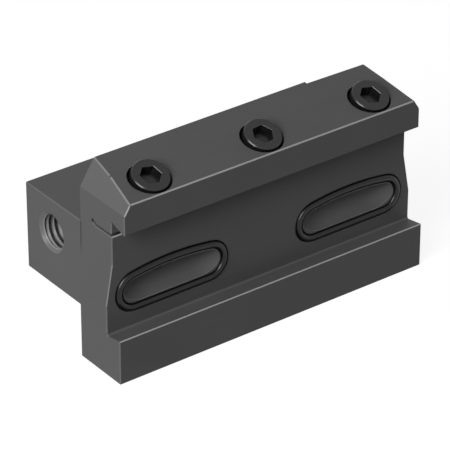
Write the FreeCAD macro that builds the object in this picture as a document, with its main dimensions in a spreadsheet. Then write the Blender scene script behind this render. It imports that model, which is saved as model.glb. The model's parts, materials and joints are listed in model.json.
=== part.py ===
import FreeCAD, Part
import Sketcher
import os

# Clamping block for a straight parting and grooving blade, with coolant fed through the blade seat.
# Millimetres and degrees. X runs along the block, Y from the blade side back to the shank, Z up.
# The origin is in the shank's bottom face, half way along the block and half way into the shank.
# Depths and heights in the sheet are measured from the front and the foot of the lip.

DRIVING = {
    # block
    "block_length": 97.0,
    "end_step": 2.0,
    "lip_height": 12.7,
    "ledge_drop": 0.9,
    "ledge_fillet": 0.5,
    "seat_depth": 5.5,
    "root_relief": 1.2,
    "lower_depth": 16.8,
    "wall_depth": 19.1,
    "rear_slope": 10.0,
    "flare_bottom": 20.3,
    "flare_top": 31.5,
    "end_bevel_drop": 2.9,
    "end_bevel_angle": 32.5,
    "edge_break": 0.25,
    # shank
    "shank_height": 25.0,
    "shank_thick": 25.0,
    "shank_front": 18.2,
    "shank_bottom": 13.2,
    "shank_proud": 0.15,
    "shank_right": 23.7,
    "relief_step": 1.0,
    "relief_angle": 1.0,
    # clamp bar
    "blade_height": 32.0,
    "blade_play": 0.05,
    "heel_room": 4.35,
    "clamp_front_height": 8.4,
    "clamp_tilt": 14.0,
    "bend_depth": 10.8,
    "lip_rise": 1.75,
    "heel_setback": 0.1,
    "heel_gap": 0.6,
    "heel_bevel": 2.0,
    "clamp_clearance": 0.005,
    # cap screws
    "screw_inset": 12.0,
    "screw_setback": 6.16,
    "screw_tilt": 25.0,
    "screw_radius": 3.0,
    "thread_clearance": 0.05,
    "screw_length": 14.0,
    "point_bevel": 0.8,
    "head_radius": 5.0,
    "head_height": 6.0,
    "head_proud": 1.4,
    "head_bevel": 0.45,
    "socket_across": 5.0,
    "socket_deep": 3.2,
    "socket_turn_left": 45.0,
    "socket_turn_middle": 3.5,
    "socket_turn_right": 45.0,
    "socket_break": 0.25,
    "counterbore_radius": 5.7,
    "clamp_hole_radius": 3.3,
    "tapped_length": 6.0,
    # sealed coolant pockets in the blade seat
    "pocket_inset": 20.3,
    "pocket_bottom": 15.9,
    "pocket_tall": 13.0,
    "pocket_long": 35.0,
    "pocket_end_radius": 6.0,
    "groove_width": 2.45,
    "groove_deep": 1.6,
    "ring_radius": 0.9,
    "ring_sides": 8,
    "ring_clearance": 0.03,
    "scoop_lip": 0.35,
    "scoop_deep": 2.5,
    "scoop_radius": 4.2,
    "scoop_rise": 8.0,
    # coolant port and drillings
    "port_inset": 13.7,
    "port_rise": 15.3,
    "port_radius": 5.1,
    "port_mouth_radius": 6.0,
    "port_deep": 13.0,
    "drill_angle": 60.0,
    "gallery_radius": 3.5,
    "feed_radius": 0.95,
    "feed_drop": 3.6,
    "feed_shift_left": 2.9,
    "feed_shift_right": 9.2,
}

DERIVED = {
    "half_length": "block_length / 2",
    "upper_half": "half_length - end_step",
    "ledge_height": "lip_height - ledge_drop",
    "ear_depth": "lower_depth + end_step",
    "relief_depth": "wall_depth - relief_step",
    "shank_left": "upper_half + shank_proud",
    "shank_long": "shank_left + shank_right",
    "shank_root": "wall_depth - edge_break",
    "shank_deep": "shank_thick + shank_front - shank_root",
    "datum_depth": "shank_front + shank_thick / 2",
    # clamp bar and the wall behind it
    "notch_height": "ledge_height + blade_height + blade_play",
    "floor_height": "notch_height - heel_room",
    "clamp_tip_height": "notch_height - lip_rise",
    "clamp_top": "clamp_tip_height + clamp_front_height",
    "bend_height": "clamp_top + bend_depth * tan(clamp_tilt)",
    "wall_top": "bend_height + (wall_depth - bend_depth) * tan(rear_slope)",
    "root_height": "floor_height + root_relief / 2",
    "root_depth": "bend_depth + (bend_height - root_height) * tan(clamp_tilt)",
    "root_start": "root_depth - root_relief",
    "heel_depth": "seat_depth + heel_setback",
    "heel_height": "floor_height + heel_gap",
    "back_top_depth": "bend_depth - clamp_clearance / cos(clamp_tilt)",
    "back_top_height": "clamp_top + back_top_depth * tan(clamp_tilt)",
    "heel_back_height": "heel_height + heel_bevel / 2",
    "heel_back_depth": "back_top_depth + (back_top_height - heel_back_height) * tan(clamp_tilt)",
    "heel_back_start": "heel_back_depth - heel_bevel",
    # ends and the space that cutters reach past the metal
    "end_bevel_start": "clamp_top - end_bevel_drop",
    "margin": "wall_top / 10",
    "beyond_end": "half_length + margin",
    "beyond_top": "wall_top + margin",
    "beyond_back": "wall_depth + margin",
    "bevel_end": "upper_half - (beyond_top - end_bevel_start) * tan(end_bevel_angle)",
    "relief_end_depth": "relief_depth - (beyond_end - shank_right) * tan(relief_angle)",
    "whole_length": "2 * beyond_end",
    "cutter_height": "beyond_top + margin",
    # screw axis and its holes, measured from the slanted top of the clamp bar
    "screw_spacing": "upper_half - screw_inset",
    "axis_depth": "screw_setback * cos(clamp_tilt)",
    "axis_height": "clamp_top + screw_setback * sin(clamp_tilt)",
    "screw_back": "axis_depth - datum_depth",
    "screw_rise": "axis_height - shank_bottom",
    "counterbore_deep": "head_height - head_proud",
    "head_room_deep": "counterbore_deep + heel_gap",
    "screw_tip": "counterbore_deep + screw_length",
    "tapped_end": "(axis_height - floor_height) / cos(screw_tilt) + tapped_length",
    "bore_depth": "axis_depth - margin * sin(screw_tilt)",
    "bore_height": "axis_height + margin * cos(screw_tilt)",
    "hole_long": "margin + tapped_end",
    "counterbore_long": "margin + counterbore_deep",
    "head_room_long": "margin + head_room_deep",
    "thread_radius": "screw_radius - thread_clearance",
    "socket_corner": "socket_across / 2 / cos(30)",
    "head_flat": "head_radius - head_bevel",
    "head_shoulder": "head_proud - head_bevel",
    "point_start": "screw_tip - point_bevel",
    "point_radius": "thread_radius - point_bevel",
    "socket_foot": "socket_deep - head_proud",
    "socket_reach": "socket_deep + socket_break",
    "socket_inner": "socket_corner - socket_break",
    "socket_outer": "socket_corner + socket_break",
    "socket_bevel": "2 * socket_break",
    "socket_bevel_start": "head_proud - socket_break",
    # pockets
    "pocket_half": "half_length - pocket_inset",
    "end_centre": "pocket_long / 2 - pocket_end_radius",
    "end_height": "pocket_bottom + pocket_end_radius",
    "crown_rise": "pocket_tall - pocket_end_radius",
    "crown_radius": "(end_centre * end_centre + crown_rise * crown_rise - pocket_end_radius * pocket_end_radius)"
                    " / (2 * (crown_rise - pocket_end_radius))",
    "ring_inset": "groove_width / 2",
    "ring_depth": "seat_depth + groove_deep - ring_radius - ring_clearance",
    "ring_height": "pocket_bottom + ring_inset",
    "scoop_inset": "groove_width + scoop_lip",
    "scoop_height": "pocket_bottom + pocket_tall / 2",
    "scoop_axis_depth": "seat_depth + scoop_deep - scoop_radius",
    "scoop_half": "pocket_long / 2 - scoop_inset - scoop_rise",
    "scoop_straight": "2 * scoop_half",
    "scoop_bend": "(scoop_rise * scoop_rise + scoop_deep * scoop_deep) / (2 * scoop_deep) - scoop_radius",
    "scoop_bend_depth": "scoop_axis_depth - scoop_bend",
    "scoop_start_left": "-pocket_half - scoop_half",
    "scoop_finish_left": "scoop_half - pocket_half",
    "scoop_start_right": "pocket_half - scoop_half",
    "scoop_finish_right": "pocket_half + scoop_half",
    # drillings
    "port_back": "shank_front + port_inset",
    "port_height": "shank_bottom + port_rise",
    "feed_height": "port_height - feed_drop",
    "feed_spread_left": "pocket_half + feed_shift_left",
    "feed_spread_right": "pocket_half - feed_shift_right",
    "port_bevel": "port_mouth_radius - port_radius",
    "port_bottom": "shank_left - port_deep",
    "port_start": "shank_left + port_bevel",
    "port_neck": "shank_left - port_bevel",
    "port_wide": "port_mouth_radius + port_bevel",
    "gallery_start": "port_bottom - (port_radius - gallery_radius) / tan(drill_angle)",
    "gallery_end": "feed_spread_right + feed_radius",
    "gallery_tip": "gallery_end + gallery_radius / tan(drill_angle)",
    "feed_start": "seat_depth - margin",
    "feed_long": "port_back - feed_start",
}

AXIS_X = FreeCAD.Vector(1, 0, 0)
AXIS_Y = FreeCAD.Vector(0, 1, 0)
AXIS_Z = FreeCAD.Vector(0, 0, 1)
SIDE = FreeCAD.Rotation(AXIS_Y, AXIS_Z, AXIS_X, "ZXY")
FRONT = FreeCAD.Rotation(AXIS_X, AXIS_Z, -AXIS_Y, "ZXY")
PLAN = FreeCAD.Rotation()
ALONG_X = FreeCAD.Rotation(AXIS_Y, 90)
QUARTER_TURN = FreeCAD.Rotation(AXIS_Z, 90)
SIDES = {"left": "-", "middle": None, "right": ""}


def fill_sheet(sheet):
    """One row for each size: its alias beside its number or its formula."""
    rows = {name: str(number) for name, number in DRIVING.items()}
    rows.update({name: "=" + text for name, text in DERIVED.items()})
    for row, (name, content) in enumerate(rows.items(), 1):
        sheet.set("A%d" % row, name)
        sheet.setAlias("B%d" % row, name)
        sheet.set("B%d" % row, content)
    doc.recompute()


def value(name):
    """The number behind an alias, turned round where a minus sign stands before the alias."""
    return -float(sizes.get(name[1:])) if name.startswith("-") else float(sizes.get(name))


def tied(name):
    """The expression that stands for an alias with or without a minus sign."""
    return "-Sizes." + name[1:] if name.startswith("-") else "Sizes." + name


def place(item, rotation=PLAN, **position):
    """Turns an object and ties its x, y and z to aliases."""
    item.Placement = FreeCAD.Placement(FreeCAD.Vector(), rotation)
    for axis, name in position.items():
        item.setExpression(".Placement.Base." + axis, tied(name))
    return item


def to_datum(item):
    """Moves a finished piece from the front and foot of the lip to the origin in the shank's bottom face."""
    return place(item, y="-datum_depth", z="-shank_bottom")


def polygon(name, plane, corners, **position):
    """A closed sketch; each corner is a pair of aliases, and None puts it on an axis of the sketch."""
    sketch = place(doc.addObject("Sketcher::SketchObject", name), plane, **position)
    points = []
    for across, up in corners:
        points.append(FreeCAD.Vector(value(across) if across else 0, value(up) if up else 0, 0))
    for index, point in enumerate(points):
        sketch.addGeometry(Part.LineSegment(point, points[(index + 1) % len(points)]), False)
    for index in range(len(points)):
        sketch.addConstraint(Sketcher.Constraint("Coincident", index, 2, (index + 1) % len(points), 1))
    for index, (across, up) in enumerate(corners):
        for kind, size, axis in (("DistanceX", across, -2), ("DistanceY", up, -1)):
            if size is None:
                sketch.addConstraint(Sketcher.Constraint("PointOnObject", index, 1, axis))
            else:
                number = sketch.addConstraint(Sketcher.Constraint(kind, -1, 1, index, 1, value(size)))
                sketch.setExpression("Constraints[%d]" % number, tied(size))
    return sketch


def crowned_slot(name, inset, **position):
    """The outline of a pocket: flat below, round at the ends and slightly arched on top.

    inset is None for the outer outline, or the alias of the distance that the outline lies inside it."""
    less = " - Sizes." + inset if inset else ""
    distance = value(inset) if inset else 0
    end = value("end_centre")
    height = value("end_height")
    radius = value("pocket_end_radius") - distance
    crown = value("crown_radius") - distance
    crown_height = value("pocket_bottom") + value("pocket_tall") - value("crown_radius")
    touch = FreeCAD.Vector(end, height - crown_height, 0).normalize()
    low = FreeCAD.Vector(0, -radius, 0)
    right = FreeCAD.Vector(end, height, 0)
    left = FreeCAD.Vector(-end, height, 0)
    mirrored = FreeCAD.Vector(-touch.x, touch.y, 0)
    side = FreeCAD.Vector(radius, 0, 0)
    top = FreeCAD.Vector(0, crown_height + crown, 0)
    sketch = place(doc.addObject("Sketcher::SketchObject", name), FRONT, **position)
    sketch.addGeometry(Part.LineSegment(left + low, right + low), False)
    sketch.addGeometry(Part.Arc(right + low, right + side, right + touch * radius), False)
    sketch.addGeometry(Part.Arc(right + touch * radius, top, left + mirrored * radius), False)
    sketch.addGeometry(Part.Arc(left + mirrored * radius, left - side, left + low), False)
    for first, second in ((0, 1), (1, 2), (2, 3), (3, 0)):
        sketch.addConstraint(Sketcher.Constraint("Tangent", first, 2, second, 1))
    ties = (
        ("DistanceX", (-1, 1, 1, 3), end, "Sizes.end_centre"),
        ("DistanceY", (-1, 1, 1, 3), height, "Sizes.end_height"),
        ("DistanceX", (3, 3, -1, 1), end, "Sizes.end_centre"),
        ("DistanceY", (-1, 1, 3, 3), height, "Sizes.end_height"),
        ("Radius", (1,), radius, "Sizes.pocket_end_radius" + less),
        ("Radius", (2,), crown, "Sizes.crown_radius" + less),
    )
    for kind, where, number, text in ties:
        index = sketch.addConstraint(Sketcher.Constraint(kind, *where, number))
        sketch.setExpression("Constraints[%d]" % index, text)
    return sketch


def extrusion(name, sketch, forward, backward=None, symmetric=False):
    """A solid along the sketch's normal, and against it where backward is given."""
    solid = doc.addObject("Part::Extrusion", name)
    solid.Base = sketch
    solid.DirMode = "Normal"
    solid.Solid = True
    solid.Symmetric = symmetric
    solid.setExpression("LengthFwd", tied(forward))
    if backward:
        solid.setExpression("LengthRev", tied(backward))
    return solid


def turned(name, sketch, axis):
    """A solid of revolution about an axis through the origin."""
    solid = doc.addObject("Part::Revolution", name)
    solid.Source = sketch
    solid.Axis = axis
    solid.Angle = 360
    solid.Solid = True
    return solid


def box(name, length, width, height, **position):
    solid = place(doc.addObject("Part::Box", name), **position)
    solid.setExpression("Length", tied(length))
    solid.setExpression("Width", tied(width))
    solid.setExpression("Height", tied(height))
    return solid


def rod(name, radius, length, rotation=PLAN, **position):
    solid = place(doc.addObject("Part::Cylinder", name), rotation, **position)
    solid.setExpression("Radius", tied(radius))
    solid.setExpression("Height", tied(length))
    return solid


def cone(name, start_radius, end_radius, length, rotation=PLAN, **position):
    solid = place(doc.addObject("Part::Cone", name), rotation, **position)
    solid.setExpression("Radius1", tied(start_radius))
    solid.setExpression("Radius2", tied(end_radius))
    solid.setExpression("Height", tied(length))
    return solid


def joined(name, shapes):
    result = doc.addObject("Part::MultiFuse", name)
    result.Shapes = shapes
    return result


def shared(name, shapes):
    result = doc.addObject("Part::MultiCommon", name)
    result.Shapes = shapes
    return result


def cut(name, base, tools):
    result = doc.addObject("Part::Cut", name)
    result.Base = base
    result.Tool = tools[0] if len(tools) == 1 else joined(name + "_tools", tools)
    return result


def cut_in_turn(name, base, tools):
    """One cut after another, as the holes are made on the machine; the last one carries the name."""
    for number, tool in enumerate(tools, 1):
        last = number == len(tools)
        base = cut(name if last else "%s_step_%d" % (name, number), base, [tool])
    return base


BLUNT_ENOUGH = 0.45
PROBE = 0.02


def is_outer_corner(shape, edge):
    """True for a straight edge where two faces meet in a clear outer corner."""
    faces = shape.ancestorsOfType(edge, Part.Face)
    if len(faces) != 2 or not isinstance(edge.Curve, Part.Line):
        return False
    middle = edge.CenterOfMass
    normals = [face.normalAt(*face.Surface.parameter(middle)) for face in faces]
    if normals[0].getAngle(normals[1]) < BLUNT_ENOUGH:
        return False
    outward = (normals[0] + normals[1]).normalize()
    return shape.isInside(middle - outward * PROBE, PROBE / 100, False)


def is_on_parting_face(edge):
    """True where an edge lies on the slanted face between the wall and the clamp bar."""
    tilt = FreeCAD.Rotation(AXIS_X, value("clamp_tilt"))
    across = tilt.multVec(AXIS_Y)
    bend = FreeCAD.Vector(0, value("bend_depth"), value("bend_height"))
    reach = 2 * value("clamp_clearance")
    return all(abs(across.dot(vertex.Point - bend)) < reach for vertex in edge.Vertexes)


def is_broken_edge(shape, edge):
    """Outer corners lose their sharp edge, but the seam beside the clamp bar keeps its own."""
    return is_outer_corner(shape, edge) and not is_on_parting_face(edge)


def softened(kind, name, base, size, chosen):
    """A fillet or a chamfer of the named size on the edges that chosen() accepts."""
    doc.recompute()
    result = doc.addObject("Part::" + kind, name)
    result.Base = base
    radius = value(size)
    result.Edges = [
        (number, radius, radius)
        for number, edge in enumerate(base.Shape.Edges, 1)
        if chosen(base.Shape, edge)
    ]
    return result


doc = FreeCAD.newDocument("blade_block")
sizes = doc.addObject("Spreadsheet::Sheet", "Sizes")
fill_sheet(sizes)


def end_form(name, **position):
    """The outline seen from the front: straight foot, flare, straight upper part and bevelled top."""
    right = [
        ("half_length", None),
        ("half_length", "flare_bottom"),
        ("upper_half", "flare_top"),
        ("upper_half", "end_bevel_start"),
        ("bevel_end", "beyond_top"),
    ]
    left = [("-" + across, up) for across, up in reversed(right)]
    return extrusion(name, polygon(name + "_outline", FRONT, right + left, y="beyond_back"), "whole_length")


# Block without its drillings

section = polygon("block_section", SIDE, [
    (None, None),
    (None, "lip_height"),
    ("seat_depth", "ledge_height"),
    ("seat_depth", "floor_height"),
    ("root_start", "floor_height"),
    ("root_depth", "root_height"),
    ("bend_depth", "bend_height"),
    ("wall_depth", "wall_top"),
    ("wall_depth", None),
])
long_body = extrusion("block_long", section, "whole_length", symmetric=True)
trimmed_body = shared("block_trimmed", [long_body, end_form("block_ends")])


def is_ledge_root(shape, edge):
    """The inner corner where the ledge meets the seat."""
    foot = FreeCAD.Vector(0, value("seat_depth"), value("ledge_height"))
    ends = [vertex.Point for vertex in edge.Vertexes]
    return all(FreeCAD.Vector(0, end.y, end.z).distanceToPoint(foot) < PROBE for end in ends)


soft_ledge = softened("Fillet", "block_ledge", trimmed_body, "ledge_fillet", is_ledge_root)
soft_body = softened("Chamfer", "block_edges", soft_ledge, "edge_break", is_broken_edge)
back_cutters = []
for side in ("left", "right"):
    sign = SIDES[side]
    ear = polygon("ear_" + side, PLAN, [
        (sign + "half_length", "lower_depth"),
        (sign + "upper_half", "ear_depth"),
        (sign + "upper_half", "beyond_back"),
        (sign + "beyond_end", "beyond_back"),
        (sign + "beyond_end", "lower_depth"),
    ])
    back_cutters.append(extrusion("ear_cutter_" + side, ear, "flare_top", "margin"))
relief = polygon("relief_outline", PLAN, [
    ("shank_right", "relief_depth"),
    ("beyond_end", "relief_end_depth"),
    ("beyond_end", "beyond_back"),
    ("shank_right", "beyond_back"),
])
back_cutters.append(extrusion("relief_cutter", relief, "cutter_height", "margin"))
plain_body = cut("block_plain", soft_body, back_cutters)
shank_blank = box("shank_blank", "shank_long", "shank_deep", "shank_height",
                  x="-shank_left", y="shank_root", z="shank_bottom")


def is_free_shank_edge(shape, edge):
    """Every edge of the shank but the four against the wall."""
    return is_broken_edge(shape, edge) and edge.BoundBox.YMax > value("shank_root") + PROBE


shank = softened("Chamfer", "shank_edges", shank_blank, "edge_break", is_free_shank_edge)
body = joined("block_body", [plain_body, shank])

# Drillings, grooves and coolant ways of the block

TILTED = FreeCAD.Rotation(AXIS_X, value("screw_tilt"))
DOWN_AXIS = FreeCAD.Rotation(AXIS_X, value("screw_tilt") + 180)
BACKWARD = FreeCAD.Rotation(AXIS_X, -90)


def screw_place(side, **position):
    """A place on a screw's axis: the given y and z, and the screw's own x."""
    sign = SIDES[side]
    if sign is not None:
        position["x"] = sign + "screw_spacing"
    return position


def stepped_hole(kind, side, hole_radius, head_long):
    """The cutters along a screw's axis, from above the metal: the hole and the space for the head."""
    where = screw_place(side, y="bore_depth", z="bore_height")
    name = "%s_%s_" % (kind, side)
    return [
        rod(name + "hole", hole_radius, "hole_long", DOWN_AXIS, **where),
        rod(name + "counterbore", "counterbore_radius", head_long, DOWN_AXIS, **where),
    ]


block_cutters = []
for side in SIDES:
    block_cutters += stepped_hole("wall", side, "screw_radius", "head_room_long")
for side in ("left", "right"):
    sign = SIDES[side]
    centre = sign + "pocket_half"
    outer = crowned_slot("groove_outer_" + side, None, x=centre, y="seat_depth")
    inner = crowned_slot("groove_inner_" + side, "groove_width", x=centre, y="seat_depth")
    groove = cut("groove_" + side, extrusion("groove_out_" + side, outer, "margin", "groove_deep"),
                 [extrusion("groove_island_" + side, inner, "margin", "groove_deep")])
    mouth = crowned_slot("scoop_mouth_" + side, "scoop_inset", x=centre, y="seat_depth")
    mouth_solid = extrusion("scoop_prism_" + side, mouth, "margin", "scoop_deep")
    trough = [rod("scoop_middle_" + side, "scoop_radius", "scoop_straight", ALONG_X,
                  x="scoop_start_" + side, y="scoop_axis_depth", z="scoop_height")]
    for end, turn in (("start", QUARTER_TURN), ("finish", PLAN)):
        bend = place(doc.addObject("Part::Torus", "scoop_%s_%s" % (end, side)), turn,
                     x="scoop_%s_%s" % (end, side), y="scoop_bend_depth", z="scoop_height")
        bend.setExpression("Radius1", tied("scoop_bend"))
        bend.setExpression("Radius2", tied("scoop_radius"))
        bend.Angle3 = 90
        trough.append(bend)
    scoop = shared("scoop_" + side, [joined("scoop_trough_" + side, trough), mouth_solid])
    feed = rod("feed_" + side, "feed_radius", "feed_long", BACKWARD,
               x=sign + "feed_spread_" + side, y="feed_start", z="feed_height")
    block_cutters += [groove, scoop, feed]
port_profile = polygon("port_profile", PLAN, [
    ("-port_start", None),
    ("-port_start", "port_wide"),
    ("-port_neck", "port_radius"),
    ("-port_bottom", "port_radius"),
    ("-gallery_start", "gallery_radius"),
    ("gallery_end", "gallery_radius"),
    ("gallery_tip", None),
])
port = place(turned("port", port_profile, AXIS_X), y="port_back", z="port_height")
block_cutters.append(port)
block = cut_in_turn("block", body, block_cutters)

# Clamp bar

clamp_section = polygon("clamp_section", SIDE, [
    (None, "clamp_tip_height"),
    (None, "clamp_top"),
    ("back_top_depth", "back_top_height"),
    ("heel_back_depth", "heel_back_height"),
    ("heel_back_start", "heel_height"),
    ("heel_depth", "heel_height"),
    ("heel_depth", "notch_height"),
])
long_clamp = extrusion("clamp_long", clamp_section, "whole_length", symmetric=True)
trimmed_clamp = shared("clamp_trimmed", [long_clamp, end_form("clamp_ends")])
soft_clamp = softened("Chamfer", "clamp_edges", trimmed_clamp, "edge_break", is_broken_edge)
clamp_cutters = []
for side in SIDES:
    clamp_cutters += stepped_hole("clamp", side, "clamp_hole_radius", "counterbore_long")
clamp_bar = cut("clamp_bar", soft_clamp, clamp_cutters)


def cap_screw(side):
    """A socket cap screw; its own Z axis points out of the head, from the clamp bar's slanted top."""
    name = "clamp_screw_" + side
    profile = polygon(name + "_profile", FRONT, [
        (None, "head_proud"),
        ("head_flat", "head_proud"),
        ("head_radius", "head_shoulder"),
        ("head_radius", "-counterbore_deep"),
        ("thread_radius", "-counterbore_deep"),
        ("thread_radius", "-point_start"),
        ("point_radius", "-screw_tip"),
        (None, "-screw_tip"),
    ])
    blank = turned(name + "_blank", profile, AXIS_Z)
    socket = doc.addObject("Part::Prism", name + "_socket")
    socket.Polygon = 6
    socket.setExpression("Circumradius", tied("socket_corner"))
    socket.setExpression("Height", tied("socket_reach"))
    socket.setExpression(".Placement.Base.z", tied("-socket_foot"))
    socket.setExpression(".Placement.Rotation.Angle", "Sizes.socket_turn_%s * 1 deg" % side)
    chamfer = cone(name + "_socket_bevel", "socket_inner", "socket_outer", "socket_bevel",
                   z="socket_bevel_start")
    screw = cut(name, blank, [socket, chamfer])
    return place(screw, TILTED, **screw_place(side, y="screw_back", z="screw_rise"))


def o_ring(side):
    """A nearly round rubber section carried once round the middle of its groove."""
    name = "o_ring_" + side
    centre = SIDES[side] + "pocket_half"
    path = crowned_slot(name + "_path", "ring_inset", x=centre, y="ring_depth")
    section = place(doc.addObject("Part::RegularPolygon", name + "_section"), ALONG_X,
                    x=centre, y="ring_depth", z="ring_height")
    section.setExpression("Polygon", tied("ring_sides"))
    section.setExpression("Circumradius", tied("ring_radius"))
    ring = doc.addObject("Part::Sweep", name)
    ring.Sections = [section]
    ring.Spine = (path, ["Edge1", "Edge2", "Edge3", "Edge4"])
    ring.Solid = True
    return to_datum(ring)


parts = {"block": to_datum(block), "clamp_bar": to_datum(clamp_bar)}
for side in SIDES:
    parts["clamp_screw_" + side] = cap_screw(side)
for side in ("left", "right"):
    parts["o_ring_" + side] = o_ring(side)

doc.recompute()
for item in doc.Objects:
    if "Invalid" in item.State or "Error" in item.State:
        raise RuntimeError("%s did not build" % item.Name)
for name, item in parts.items():
    item.Label = name
    if item.Shape.isNull() or not item.Shape.isValid() or len(item.Shape.Solids) != 1:
        raise RuntimeError("%s is not one sound solid" % name)

os.makedirs("parts", exist_ok=True)
for name, item in parts.items():
    item.Shape.exportStep("parts/%s.step" % name)
    print("%-20s %9.1f mm3 %4d faces" % (name, item.Shape.Volume, len(item.Shape.Faces)))
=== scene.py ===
import json
import math
import bpy
from mathutils import Matrix, Vector


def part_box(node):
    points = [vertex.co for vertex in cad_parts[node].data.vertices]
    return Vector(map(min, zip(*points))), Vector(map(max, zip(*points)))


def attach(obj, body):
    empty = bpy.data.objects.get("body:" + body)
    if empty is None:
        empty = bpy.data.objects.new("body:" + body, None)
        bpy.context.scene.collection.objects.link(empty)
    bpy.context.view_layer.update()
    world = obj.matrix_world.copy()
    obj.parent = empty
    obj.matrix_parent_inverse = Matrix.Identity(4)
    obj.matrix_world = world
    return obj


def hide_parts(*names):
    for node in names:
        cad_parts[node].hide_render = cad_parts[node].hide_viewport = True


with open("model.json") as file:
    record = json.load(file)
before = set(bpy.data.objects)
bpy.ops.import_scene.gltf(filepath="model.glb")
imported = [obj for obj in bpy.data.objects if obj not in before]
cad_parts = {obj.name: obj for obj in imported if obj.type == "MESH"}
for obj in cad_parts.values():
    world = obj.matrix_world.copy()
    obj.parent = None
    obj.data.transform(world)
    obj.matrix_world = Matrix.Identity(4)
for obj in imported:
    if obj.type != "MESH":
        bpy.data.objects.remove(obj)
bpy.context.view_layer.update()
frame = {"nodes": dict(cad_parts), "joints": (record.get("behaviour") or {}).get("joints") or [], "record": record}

MM = 0.001
SIDES = ("left", "middle", "right")
RING_SIDES = ("left", "right")
MOUNTS = {mount["name"]: mount for mount in frame["record"]["mounts"]}
JOINTS = {joint["name"]: joint for joint in frame["joints"]}


# Camera, placed from the front and foot of the lip, half way along the block

LIP_FOOT = Vector((0.0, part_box("block")[0].y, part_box("block")[0].z))
CAMERA_OFFSET = Vector((-430.74, -554.67, 442.09)) * MM
CAMERA_AZIMUTH = math.radians(-36.79)
CAMERA_ELEVATION = math.radians(30.45)
CAMERA_CLIP = (0.01, 20.0)
FOCAL_LENGTH_PX = 3227.77
PICTURE_WIDTH_PX = 450
SENSOR_MM = 36.0


def make_camera():
    data = bpy.data.cameras.new("photo_view")
    data.sensor_fit = "HORIZONTAL"
    data.sensor_width = SENSOR_MM
    data.lens = FOCAL_LENGTH_PX * SENSOR_MM / PICTURE_WIDTH_PX
    data.clip_start, data.clip_end = CAMERA_CLIP
    camera = bpy.data.objects.new("photo_view", data)
    right = Vector((math.cos(CAMERA_AZIMUTH), math.sin(CAMERA_AZIMUTH), 0.0))
    back = Vector((
        math.sin(CAMERA_AZIMUTH) * math.cos(CAMERA_ELEVATION),
        -math.cos(CAMERA_AZIMUTH) * math.cos(CAMERA_ELEVATION),
        math.sin(CAMERA_ELEVATION),
    ))
    up = back.cross(right)
    turn = Matrix((right, up, back)).transposed().to_4x4()
    camera.matrix_world = Matrix.Translation(LIP_FOOT + CAMERA_OFFSET) @ turn
    bpy.context.scene.collection.objects.link(camera)
    bpy.context.scene.camera = camera


# Shader parts

def new_material(name):
    """A material with one principled shader."""
    material = bpy.data.materials.new(name)
    material.use_nodes = True
    tree = material.node_tree
    tree.nodes.clear()
    shader = tree.nodes.new("ShaderNodeBsdfPrincipled")
    output = tree.nodes.new("ShaderNodeOutputMaterial")
    tree.links.new(shader.outputs["BSDF"], output.inputs["Surface"])
    return material, tree, shader


def ramp(tree, source, low, high, from_low=0.0, from_high=1.0):
    """Maps a number between two limits to another pair of limits."""
    node = tree.nodes.new("ShaderNodeMapRange")
    node.inputs["From Min"].default_value = from_low
    node.inputs["From Max"].default_value = from_high
    node.inputs["To Min"].default_value = low
    node.inputs["To Max"].default_value = high
    tree.links.new(source, node.inputs["Value"])
    return node.outputs["Result"]


def arithmetic(tree, operation, first, second=0.0):
    """A sum, product or the like of two sockets or numbers."""
    node = tree.nodes.new("ShaderNodeMath")
    node.operation = operation
    for index, term in enumerate((first, second)):
        if isinstance(term, (int, float)):
            node.inputs[index].default_value = term
        else:
            tree.links.new(term, node.inputs[index])
    return node.outputs["Value"]


def dot(tree, first, second):
    """The dot product of a direction's socket and another socket or a fixed direction."""
    node = tree.nodes.new("ShaderNodeVectorMath")
    node.operation = "DOT_PRODUCT"
    tree.links.new(first, node.inputs[0])
    if isinstance(second, bpy.types.NodeSocket):
        tree.links.new(second, node.inputs[1])
    else:
        node.inputs[1].default_value = second
    return node.outputs["Value"]


def grey(tree, source):
    """A colour with the same value in each channel."""
    node = tree.nodes.new("ShaderNodeCombineColor")
    for channel in ("Red", "Green", "Blue"):
        tree.links.new(source, node.inputs[channel])
    return node.outputs["Color"]


def own_position(tree):
    """The place on a piece in its own axes, which move with it."""
    return tree.nodes.new("ShaderNodeTexCoord").outputs["Object"]


def noise(tree, scale, detail=2.0, stretch=(1.0, 1.0, 1.0)):
    """Smooth noise between nought and one; the scale is in waves a metre."""
    mapping = tree.nodes.new("ShaderNodeMapping")
    mapping.inputs["Scale"].default_value = stretch
    texture = tree.nodes.new("ShaderNodeTexNoise")
    texture.inputs["Scale"].default_value = scale
    texture.inputs["Detail"].default_value = detail
    tree.links.new(own_position(tree), mapping.inputs["Vector"])
    tree.links.new(mapping.outputs["Vector"], texture.inputs["Vector"])
    return texture.outputs["Fac"]


# Painted light on the edges: a painted highlight on edges that face one way and a painted dark rim on edges that
# face away; each fade gives the two values between which an effect comes in

HIGHLIGHT_EDGE_WIDTH = 0.16 * MM
SHADE_EDGE_WIDTH = 0.6 * MM
HIGHLIGHT_FACING = (-0.25, -0.70, 0.66)
HIGHLIGHT_FADE = (0.6, 0.95)
LIT_SIDE = (-0.70, -0.45, 0.55)
LIT_SIDE_FADE = (0.1, 0.35)
FAR_EDGE_SHADE = 0.45
SEAM_FADE = (0.3 * MM, 0.36 * MM)
CORNER_REACH = 0.6 * MM
CORNER_FADE = (0.8, 0.95)
CORNER_SAMPLES = 8
ROUNDING_FADE = (0.975, 0.999)
ROUNDING_SAMPLES = 6


def parting_plane():
    """The direction and the depth of the clamp bar's back, which lies on the block."""
    mesh = frame["nodes"]["clamp_bar"].data
    facing_back = [face for face in mesh.polygons if face.normal.y > abs(face.normal.z)]
    across = max(facing_back, key=lambda face: face.area).normal.copy()
    return across, max(across.dot(vertex.co) for vertex in mesh.vertices)


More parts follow.
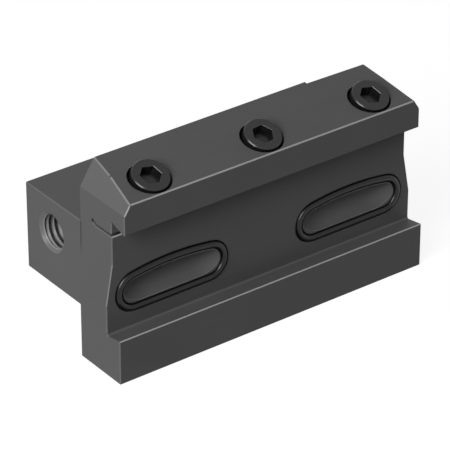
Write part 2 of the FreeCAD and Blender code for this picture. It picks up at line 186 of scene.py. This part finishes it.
def off_seam(tree):
    """Nought at the parting plane of clamp bar and block, whose edges there touch and get neither painted
    highlight nor painted shade.
    """
    across, depth = parting_plane()
    away = arithmetic(tree, "SUBTRACT", dot(tree, own_position(tree), across), depth)
    return ramp(tree, arithmetic(tree, "ABSOLUTE", away), 0.0, 1.0, *SEAM_FADE)


def painted_edge_light(tree, normal):
    """How much painted highlight an edge that faces along the normal gets; below nought, it gets painted shade,
    darker than the face.
    """
    # Painted highlight on edges that face the lit side, painted shade on edges that face away from it.
    painted_light = ramp(tree, dot(tree, normal, HIGHLIGHT_FACING), 0.0, 1.0, *HIGHLIGHT_FADE)
    painted_shade = ramp(tree, dot(tree, normal, LIT_SIDE), FAR_EDGE_SHADE, 0.0, *LIT_SIDE_FADE)
    return arithmetic(tree, "MULTIPLY", arithmetic(tree, "SUBTRACT", painted_light, painted_shade), off_seam(tree))


def openness(tree):
    """One in the open and nought in corners, gaps and grooves."""
    node = tree.nodes.new("ShaderNodeAmbientOcclusion")
    node.samples = CORNER_SAMPLES
    node.inputs["Distance"].default_value = CORNER_REACH
    return ramp(tree, node.outputs["AO"], 0.0, 1.0, *CORNER_FADE)


def rounded(tree, width):
    """Whether an edge lies within the width, and the painted light that edge gets by the way it faces."""
    bevel = tree.nodes.new("ShaderNodeBevel")
    bevel.samples = ROUNDING_SAMPLES
    bevel.inputs["Radius"].default_value = width
    flat = tree.nodes.new("ShaderNodeNewGeometry").outputs["True Normal"]
    near = ramp(tree, dot(tree, bevel.outputs["Normal"], flat), 1.0, 0.0, *ROUNDING_FADE)
    return near, painted_edge_light(tree, bevel.outputs["Normal"])


def edge_highlight_and_shade(tree):
    """Painted light on sharp outer edges: a narrow painted highlight on edges that face the light, with a wider
    painted dark rim on edges that face away.
    """
    near, facing_light = rounded(tree, HIGHLIGHT_EDGE_WIDTH)
    edge_highlight = arithmetic(tree, "MULTIPLY", near, arithmetic(tree, "MAXIMUM", facing_light, 0.0))
    near, facing_light = rounded(tree, SHADE_EDGE_WIDTH)
    edge_shade = arithmetic(tree, "MULTIPLY", near, arithmetic(tree, "MINIMUM", facing_light, 0.0))
    return arithmetic(tree, "MULTIPLY", arithmetic(tree, "ADD", edge_highlight, edge_shade), openness(tree))


def chamfer_highlight_and_shade(tree):
    """Painted highlight and painted shade on the narrow flats of broken edges, by the way they face."""
    flat = tree.nodes.new("ShaderNodeNewGeometry").outputs["True Normal"]
    return arithmetic(tree, "MULTIPLY", painted_edge_light(tree, flat), openness(tree))


# Materials

NOISE_SPREAD = (0.3, 0.7)
CLOUD_SCALE = 60.0
CLOUD_DETAIL = 3.0
GRAIN_SCALE = 900.0
GRAIN_STRETCH = (0.12, 1.0, 1.0)
GRAIN_STRENGTH = 0.05
GRAIN_DEPTH = 0.02 * MM
TONE_SPREAD = (0.97, 1.03)
ROUGHNESS_SPREAD = 0.05
DARKEST = 0.004

RUBBER_SPECK_SCALE = 1500.0
RUBBER_TONE = (0.003, 0.006)
RUBBER_ROUGHNESS = (0.27, 0.33)
RUBBER_SPECULAR = 0.32

# Painted highlight on the thread crests and the countersink, painted shade in the thread roots.
PORT_CREST_HIGHLIGHT = 0.30
PORT_ROOT_SHADE = 0.006
PORT_MOUTH_HIGHLIGHT = 0.14
PORT_MOUTH_FADE = 0.05 * MM
PORT_SPECK_SCALE = 700.0
PORT_ROUGHNESS = (0.32, 0.42)
PORT_SPECULAR = 0.25


def blackened_steel(name, tone, roughness, specular, edge_light, edge_light_strength):
    """Black-oxidised ground steel: a satin dark grey with faint grinding lines, and painted highlights and painted
    shade on the outer edges.
    """
    material, tree, shader = new_material(name)
    cloud = noise(tree, CLOUD_SCALE, CLOUD_DETAIL)
    grain = noise(tree, GRAIN_SCALE, stretch=GRAIN_STRETCH)
    low, high = TONE_SPREAD
    clouded = ramp(tree, cloud, low * tone, high * tone, *NOISE_SPREAD)
    shade = arithmetic(tree, "MULTIPLY", clouded, ramp(tree, grain, low, high, *NOISE_SPREAD))
    # Painted highlight and painted shade on the edges, added to the steel's tone.
    edge = arithmetic(tree, "MULTIPLY", edge_light(tree), edge_light_strength)
    lit_tone = arithmetic(tree, "MAXIMUM", arithmetic(tree, "ADD", shade, edge), DARKEST)
    tree.links.new(grey(tree, lit_tone), shader.inputs["Base Color"])
    gloss = ramp(tree, grain, roughness - ROUGHNESS_SPREAD, roughness + ROUGHNESS_SPREAD, *NOISE_SPREAD)
    tree.links.new(gloss, shader.inputs["Roughness"])
    shader.inputs["Specular IOR Level"].default_value = specular
    bump = tree.nodes.new("ShaderNodeBump")
    bump.inputs["Strength"].default_value = GRAIN_STRENGTH
    bump.inputs["Distance"].default_value = GRAIN_DEPTH
    tree.links.new(grain, bump.inputs["Height"])
    tree.links.new(bump.outputs["Normal"], shader.inputs["Normal"])
    return material


def seal_rubber():
    """Black rubber with a fine bloom and an oily sheen."""
    material, tree, shader = new_material("seal_rubber")
    speck = noise(tree, RUBBER_SPECK_SCALE)
    tree.links.new(grey(tree, ramp(tree, speck, *RUBBER_TONE)), shader.inputs["Base Color"])
    tree.links.new(ramp(tree, speck, *RUBBER_ROUGHNESS), shader.inputs["Roughness"])
    shader.inputs["Specular IOR Level"].default_value = RUBBER_SPECULAR
    return material


def port_steel(root, crest, cone_deep):
    """Thread flanks: painted black shade at the roots, painted highlight on the crests and on the countersink."""
    material, tree, shader = new_material("port_steel")
    split = tree.nodes.new("ShaderNodeSeparateXYZ")
    tree.links.new(own_position(tree), split.inputs["Vector"])
    squares = [arithmetic(tree, "POWER", split.outputs[axis], 2.0) for axis in ("X", "Y")]
    reach = arithmetic(tree, "SQRT", arithmetic(tree, "ADD", *squares))
    # Painted highlight on the crests, fading to painted shade in the roots.
    painted_light = ramp(tree, reach, PORT_CREST_HIGHLIGHT, PORT_ROOT_SHADE, crest, root)
    # Painted highlight on the countersink.
    cone = ramp(tree, split.outputs["Z"], 0.0, PORT_MOUTH_HIGHLIGHT, -cone_deep - PORT_MOUTH_FADE, -cone_deep)
    tree.links.new(grey(tree, arithmetic(tree, "MAXIMUM", painted_light, cone)), shader.inputs["Base Color"])
    tree.links.new(ramp(tree, noise(tree, PORT_SPECK_SCALE), *PORT_ROUGHNESS), shader.inputs["Roughness"])
    shader.inputs["Specular IOR Level"].default_value = PORT_SPECULAR
    return material


# Which steel each face of the block and the clamp bar wears

CHAMFER_WIDTHS = (0.2 * MM, 0.45 * MM)
CHAMFER_LENGTH = 2.0 * MM
CHAMFER_AREA = 60.0 * MM * MM
END_BEVEL = math.radians(32.5)
FLAT = 0.01


def facing(polygon):
    """A face's direction, the same for all triangles of a flat face."""
    return tuple(round(part, 3) for part in polygon.normal)


def is_end_bevel(polygon):
    """Whether a face is one of the slopes at the ends of the top."""
    return abs(polygon.normal.y) < FLAT and abs(polygon.normal.z - math.sin(END_BEVEL)) < FLAT


def dress(node, plain, end_bevel, chamfer):
    """Gives a node its steel, a paler steel with painted sheen to its end bevels, and a steel with painted
    highlight and painted shade by facing to its long narrow chamfers.
    """
    mesh = frame["nodes"][node].data
    mesh.materials.clear()
    for material in (plain, end_bevel, chamfer):
        mesh.materials.append(material)
    areas = {}
    for polygon in mesh.polygons:
        areas[facing(polygon)] = areas.get(facing(polygon), 0.0) + polygon.area
    for polygon in mesh.polygons:
        corners = [mesh.vertices[index].co for index in polygon.vertices]
        longest = max((corners[step] - corners[step - 1]).length for step in range(len(corners)))
        width = 2.0 * polygon.area / longest
        narrow = CHAMFER_WIDTHS[0] < width < CHAMFER_WIDTHS[1] and longest > CHAMFER_LENGTH
        polygon.material_index = 1 if is_end_bevel(polygon) else 0
        if narrow and areas[facing(polygon)] < CHAMFER_AREA:
            polygon.material_index = 2


# Pieces added to the frame

SMOOTH_BELOW = math.radians(30.0)
NEAR = 0.01 * MM


def grid_mesh(name, rows, close_rows=False):
    """A skin over rows of points, each row closed on itself; the last row can be joined to the first."""
    width = len(rows[0])
    faces = []
    for row in range(len(rows) if close_rows else len(rows) - 1):
        here = row * width
        after = (row + 1) % len(rows) * width
        for column in range(width):
            beside = (column + 1) % width
            faces.append((here + column, here + beside, after + beside, after + column))
    mesh = bpy.data.meshes.new(name)
    mesh.from_pydata([point for row in rows for point in row], [], faces)
    mesh.update()
    mesh.shade_smooth()
    mesh.set_sharp_from_angle(angle=SMOOTH_BELOW)
    return mesh


def add_piece(name, mesh, place, body, material):
    """Adds a mesh to the scene as a piece that moves with a body."""
    item = bpy.data.objects.new(name, mesh)
    item.matrix_world = place
    bpy.context.scene.collection.objects.link(item)
    mesh.materials.append(material)
    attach(item, body)
    return item


def around(count):
    """Equal steps of angle round a full turn."""
    return [math.tau * step / count for step in range(count)]


def at_angle(radius, angle, height):
    return Vector((radius * math.cos(angle), radius * math.sin(angle), height))


def circle(radius, height, count):
    return [at_angle(radius, angle, height) for angle in around(count)]


# Cap screws

FULL_RADIUS = 0.999
SOCKET_SHARE = 0.65
HEAD_STEPS_ROUND = 96
HEAD_BREAK = 0.25 * MM
HEAD_FOOT_BREAK = 0.2 * MM
SOCKET_BREAK = 0.12 * MM
SOCKET_FLAT_SHARE = 0.8
SOCKET_POINT_SHARE = 0.05
SOCKET_POINT_DEPTH = 0.35
KNURLS = 48
KNURL_DEPTH = 0.12 * MM
KNURL_FREE = 1.8 * MM
KNURL_RUNOUT = 0.1 * MM
SCREW_PITCH = 1.0 * MM
THREAD_DEPTH = 0.61 * MM
THREAD_SLOPE = 1.25
THREAD_STEPS_ROUND = 36
THREAD_STEPS_PER_PITCH = 8
TIP_CHAMFER = 0.8 * MM
TIP_CENTRE_SHARE = 0.02


def screw_frame(side):
    """The matrix from a screw's own axes, Z out of the head, to the row frame."""
    joint = JOINTS["clamp_screw_%s_turn" % side]
    axis = Vector(joint["axis"]).normalized()
    across = Vector((1.0, 0.0, 0.0))
    turn = Matrix((across, axis.cross(across), axis)).transposed().to_4x4()
    return Matrix.Translation(Vector(joint["pos_m"])) @ turn


def measured_screw(side):
    """The screw's sizes, read from its solid."""
    node = frame["nodes"]["clamp_screw_" + side]
    to_screw = screw_frame(side).inverted() @ node.matrix_world
    points = [to_screw @ vertex.co for vertex in node.data.vertices]
    reach = [math.hypot(point.x, point.y) for point in points]
    top = max(point.z for point in points)
    tip = min(point.z for point in points)
    head = max(reach)
    rim = [point.z for point, radius in zip(points, reach) if radius > FULL_RADIUS * head]
    shank = max(radius for point, radius in zip(points, reach) if point.z < (tip + min(rim)) / 2)
    socket = [
        point for point, radius in zip(points, reach)
        if radius < SOCKET_SHARE * head and min(rim) + THREAD_DEPTH < point.z < top - NEAR
    ]
    floor = min(point.z for point in socket)
    on_floor = [point for point in socket if point.z < floor + NEAR]
    corner = max(on_floor, key=lambda point: math.hypot(point.x, point.y))
    return {
        "top": top,
        "tip": tip,
        "head": head,
        "head_foot": min(rim),
        "shoulder": max(rim),
        "shank": shank,
        "socket_floor": floor,
        "socket_corner": math.hypot(corner.x, corner.y),
        "socket_turn": math.atan2(corner.y, corner.x),
    }


def hexagon(corner, turn, angle):
    """The distance from the centre to a hexagon's side in a direction."""
    sector = math.radians(60.0)
    apothem = corner * math.cos(sector / 2)
    return apothem / math.cos((angle - turn + sector) % sector - sector / 2)


def head_rows(size):
    """Rings of points over the head, from the rim of its foot up, over the top and down into the socket."""
    head = size["head"]
    corner = size["socket_corner"]
    foot = size["head_foot"]
    top = size["top"]
    floor = size["socket_floor"]
    knurl_end = size["shoulder"] - KNURL_FREE

    def ring(radius, height):
        return circle(radius, height, HEAD_STEPS_ROUND)

    def shaped(radius_at, height, wider=0.0):
        return [at_angle(radius_at(angle) + wider, angle, height) for angle in around(HEAD_STEPS_ROUND)]

    def knurled(angle):
        return head - KNURL_DEPTH * (1.0 - math.cos(KNURLS * angle)) / 2

    def socket_side(angle):
        return hexagon(corner, size["socket_turn"], angle)

    return [
        ring(size["shank"], foot),
        ring(head - HEAD_FOOT_BREAK, foot),
        shaped(knurled, foot + HEAD_FOOT_BREAK),
        shaped(knurled, knurl_end),
        ring(head, knurl_end + KNURL_RUNOUT),
        ring(head, top - HEAD_BREAK),
        ring(head - HEAD_BREAK, top),
        shaped(socket_side, top, SOCKET_BREAK),
        shaped(socket_side, top - SOCKET_BREAK),
        shaped(socket_side, floor),
        ring(SOCKET_FLAT_SHARE * corner, floor),
        ring(SOCKET_POINT_SHARE * corner, floor - SOCKET_POINT_DEPTH * corner),
    ]


def thread_rows(size):
    """Rings of points down the threaded shank, each ring offset so that the crests run in a helix."""
    start = size["head_foot"]
    tip = size["tip"]
    shank = size["shank"]
    count = int((start - tip) / SCREW_PITCH * THREAD_STEPS_PER_PITCH)
    rows = []
    for step in range(count + 1):
        height = start + (tip - start) * step / count
        fade = min(1.0, (height - tip) / SCREW_PITCH, (start - height) / SCREW_PITCH)
        chamfer = max(0.0, TIP_CHAMFER - (height - tip))
        row = []
        for angle in around(THREAD_STEPS_ROUND):
            phase = (height / SCREW_PITCH - angle / math.tau) % 1.0
            groove = max(0.0, 1.0 - abs(2.0 * phase - 1.0) * THREAD_SLOPE)
            row.append(at_angle(shank - max(THREAD_DEPTH * groove * fade, chamfer), angle, height))
        rows.append(row)
    share = TIP_CENTRE_SHARE
    rows.append([Vector((share * point.x, share * point.y, point.z)) for point in rows[-1]])
    return rows


def make_screw(side, material):
    """A screw's head with its knurl and socket, and its threaded shank."""
    size = measured_screw(side)
    name = "clamp_screw_" + side
    place = screw_frame(side)
    outside = grid_mesh(name + "_head", head_rows(size))
    head = add_piece(name + "_head", outside, place, name, material)
    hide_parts(name)
    threads = grid_mesh(name + "_thread", [list(reversed(row)) for row in thread_rows(size)])
    add_piece(name + "_thread", threads, place, name, material)


# Seal rings

RING_STEPS_ROUND = 32
RING_PATH_STEP = 0.25 * MM
RING_PROUD = 0.35 * MM
RING_FOOT_BAND = 0.001 * MM


def ring_path(side):
    """The middle line of a seal ring and its section's radius, worked out from the faceted solid."""
    low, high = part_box("o_ring_" + side)
    radius = (high.y - low.y) / 2
    centre_x = (low.x + high.x) / 2
    depth = (low.y + high.y) / 2 - RING_PROUD
    vertices = [vertex.co for vertex in frame["nodes"]["o_ring_" + side].data.vertices]
    foot = [point.x for point in vertices if point.z < low.z + RING_FOOT_BAND]
    straight = (max(foot) - min(foot)) / 2
    end = (high.x - low.x) / 2 - radius - straight
    end_height = low.z + radius + end
    rise = high.z - radius - end_height
    crown = (straight ** 2 + rise ** 2 - end ** 2) / (2 * (rise - end))
    crown_height = high.z - radius - crown
    lean = math.atan2(straight, end_height - crown_height)
    points = []

    def arc(x, z, size, start, finish):
        count = max(2, int(abs(finish - start) * size / RING_PATH_STEP))
        for step in range(count):
            angle = start + (finish - start) * step / count
            points.append((Vector((x + size * math.sin(angle), depth, z + size * math.cos(angle))), angle))

    arc(centre_x + straight, end_height, end, math.pi, lean)
    arc(centre_x, crown_height, crown, lean, -lean)
    arc(centre_x - straight, end_height, end, -lean, -math.pi)
    count = int(2 * straight / RING_PATH_STEP)
    for step in range(count):
        along = centre_x - straight + 2 * straight * step / count
        points.append((Vector((along, depth, low.z + radius)), math.pi))
    return points, radius


def make_ring(side, material):
    """A round seal ring, prouder of the seat than its solid, as rubber that isn't pressed down."""
    points, radius = ring_path(side)
    across = Vector((0.0, 1.0, 0.0))
    rows = []
    for point, angle in points:
        outward = Vector((math.sin(angle), 0.0, math.cos(angle)))
        rows.append([
            point + radius * (math.cos(turn) * outward + math.sin(turn) * across)
            for turn in around(RING_STEPS_ROUND)
        ])
    name = "seal_ring_" + side
    ring = add_piece(name, grid_mesh(name, rows, True), Matrix.Identity(4), "block", material)
    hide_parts("o_ring_" + side)


# Thread in the coolant port

PORT_PITCH = 1.75 * MM
PORT_CREST = 0.5 * MM
PORT_SLOPE = 1.15
PORT_MOUTH = 5.55 * MM
PORT_PROUD = 0.01 * MM
PORT_STEPS_ROUND = 64
PORT_STEPS_PER_PITCH = 10


def make_port_thread(face_steel):
    """The port's countersunk mouth, flush with the shank's end, and the helical crests behind it."""
    mount = MOUNTS["coolant_port"]
    axis = Vector(mount["axis"]).normalized()
    radius = mount["dims"]["r_mm"] * MM
    length = mount["dims"]["length_mm"] * MM
    across = Vector((0.0, 0.0, 1.0))
    turn = Matrix((across, axis.cross(across), axis)).transposed().to_4x4()
    middle = Vector(mount["pos_m"])
    vertices = [vertex.co for vertex in frame["nodes"]["block"].data.vertices]
    shank = [point for point in vertices if point.y > middle.y - PORT_MOUTH]
    face = min(point.x for point in shank)
    on_face = [point for point in shank if point.x < face + NEAR]
    rim = min(math.hypot(point.y - middle.y, point.z - middle.z) for point in on_face)
    crest = radius - PORT_CREST
    cone_deep = PORT_MOUTH - crest
    # The flush annulus reaches past the rim by the width of the painted dark edge rim, hiding the painted shade
    # there.
    rows = [circle(reach, PORT_PROUD, PORT_STEPS_ROUND) for reach in (rim + SHADE_EDGE_WIDTH, PORT_MOUTH)]
    count = int(length / PORT_PITCH * PORT_STEPS_PER_PITCH)
    for step in range(count + 1):
        depth = cone_deep + length * step / count
        fade = min(1.0, (cone_deep + length - depth) / PORT_PITCH)
        row = []
        for angle in around(PORT_STEPS_ROUND):
            phase = (depth / PORT_PITCH + angle / math.tau) % 1.0
            ridge = max(0.0, 1.0 - abs(2.0 * phase - 1.0) * PORT_SLOPE)
            reach = crest if step == 0 else radius - PORT_CREST * ridge * fade
            row.append(at_angle(reach, angle, -depth))
        rows.append(row)
    mesh = grid_mesh("port_thread", rows)
    place = Matrix.Translation(Vector((face, middle.y, middle.z))) @ turn
    add_piece("port_thread", mesh, place, "block", face_steel)
    mesh.materials.append(port_steel(radius, crest, cone_deep))
    for polygon in mesh.polygons:
        polygon.material_index = 1 if polygon.index >= PORT_STEPS_ROUND else 0


# Floor, backdrop and light

FLOOR_SIZE = 8.0
FLOOR_TONE = 0.2
FLOOR_ROUGHNESS = 0.9
FLOOR_GLOW = 0.9
SKY_STRENGTH = 0.1
WHITE = (1.0, 1.0, 1.0, 1.0)
KEY_DIRECTION = Vector((-0.77, -0.32, 0.55)).normalized()
KEY_DISTANCE = 1.2
KEY_SIZE = 0.7
KEY_POWER = 15.0


def seen_directly(tree):
    """One for rays from the camera, a mirror or glass, and nought for the rest."""
    path = tree.nodes.new("ShaderNodeLightPath")
    seen = arithmetic(tree, "MAXIMUM", path.outputs["Is Camera Ray"], path.outputs["Is Glossy Ray"])
    return arithmetic(tree, "MAXIMUM", seen, path.outputs["Is Transmission Ray"])


def make_floor():
    """A white floor to the eye, with a faint shadow, that throws little light back at the object."""
    half = FLOOR_SIZE / 2
    corners = [(-half, -half, 0.0), (half, -half, 0.0), (half, half, 0.0), (-half, half, 0.0)]
    mesh = bpy.data.meshes.new("floor")
    mesh.from_pydata(corners, [], [(0, 1, 2, 3)])
    floor = bpy.data.objects.new("floor", mesh)
    floor.matrix_world = Matrix.Translation((0.0, 0.0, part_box("block")[0].z))
    bpy.context.scene.collection.objects.link(floor)
    material, tree, shader = new_material("floor_paint")
    shader.inputs["Base Color"].default_value = (FLOOR_TONE, FLOOR_TONE, FLOOR_TONE, 1.0)
    shader.inputs["Roughness"].default_value = FLOOR_ROUGHNESS
    shader.inputs["Specular IOR Level"].default_value = 0.0
    shader.inputs["Emission Color"].default_value = WHITE
    tree.links.new(ramp(tree, seen_directly(tree), 0.0, FLOOR_GLOW), shader.inputs["Emission Strength"])
    mesh.materials.append(material)


def make_world():
    world = bpy.data.worlds.new("studio")
    world.use_nodes = True
    tree = world.node_tree
    background = tree.nodes["Background"]
    background.inputs["Color"].default_value = WHITE
    tree.links.new(ramp(tree, seen_directly(tree), SKY_STRENGTH, 1.0), background.inputs["Strength"])
    bpy.context.scene.world = world


def make_key_lamp():
    """A square lamp from the upper left, aimed at the block."""
    data = bpy.data.lights.new("key", "AREA")
    data.size = KEY_SIZE
    data.energy = KEY_POWER
    lamp = bpy.data.objects.new("key", data)
    lamp.location = KEY_DIRECTION * KEY_DISTANCE
    lamp.rotation_euler = KEY_DIRECTION.to_track_quat("Z", "Y").to_euler()
    bpy.context.scene.collection.objects.link(lamp)


SATIN = {"roughness": 0.5, "specular": 0.13}
OILED = {"roughness": 0.28, "specular": 0.38}

make_camera()
make_world()
make_floor()
make_key_lamp()
# Each steel gets painted highlights on edges that face the light and painted shade on edges that face away; the
# screws get them faintly.
block_steel = blackened_steel("block_steel", tone=0.093, edge_light=edge_highlight_and_shade, edge_light_strength=0.2, **SATIN)
# The end bevels get a paler tone, a painted sheen.
bevel_sheen_steel = blackened_steel("bevel_sheen_steel", tone=0.118, edge_light=edge_highlight_and_shade, edge_light_strength=0.2, **SATIN)
# The narrow chamfers get painted highlight and painted shade by the way their flats face.
chamfer_lit_steel = blackened_steel("chamfer_lit_steel", tone=0.093, edge_light=chamfer_highlight_and_shade, edge_light_strength=0.28, **SATIN)
screw_steel = blackened_steel("screw_steel", tone=0.008, edge_light=edge_highlight_and_shade, edge_light_strength=0.03, **OILED)
rubber = seal_rubber()
for node in ("block", "clamp_bar"):
    dress(node, plain=block_steel, end_bevel=bevel_sheen_steel, chamfer=chamfer_lit_steel)
for side in SIDES:
    make_screw(side, screw_steel)
for side in RING_SIDES:
    make_ring(side, rubber)
make_port_thread(block_steel)

bpy.context.scene.view_settings.view_transform = "Standard"
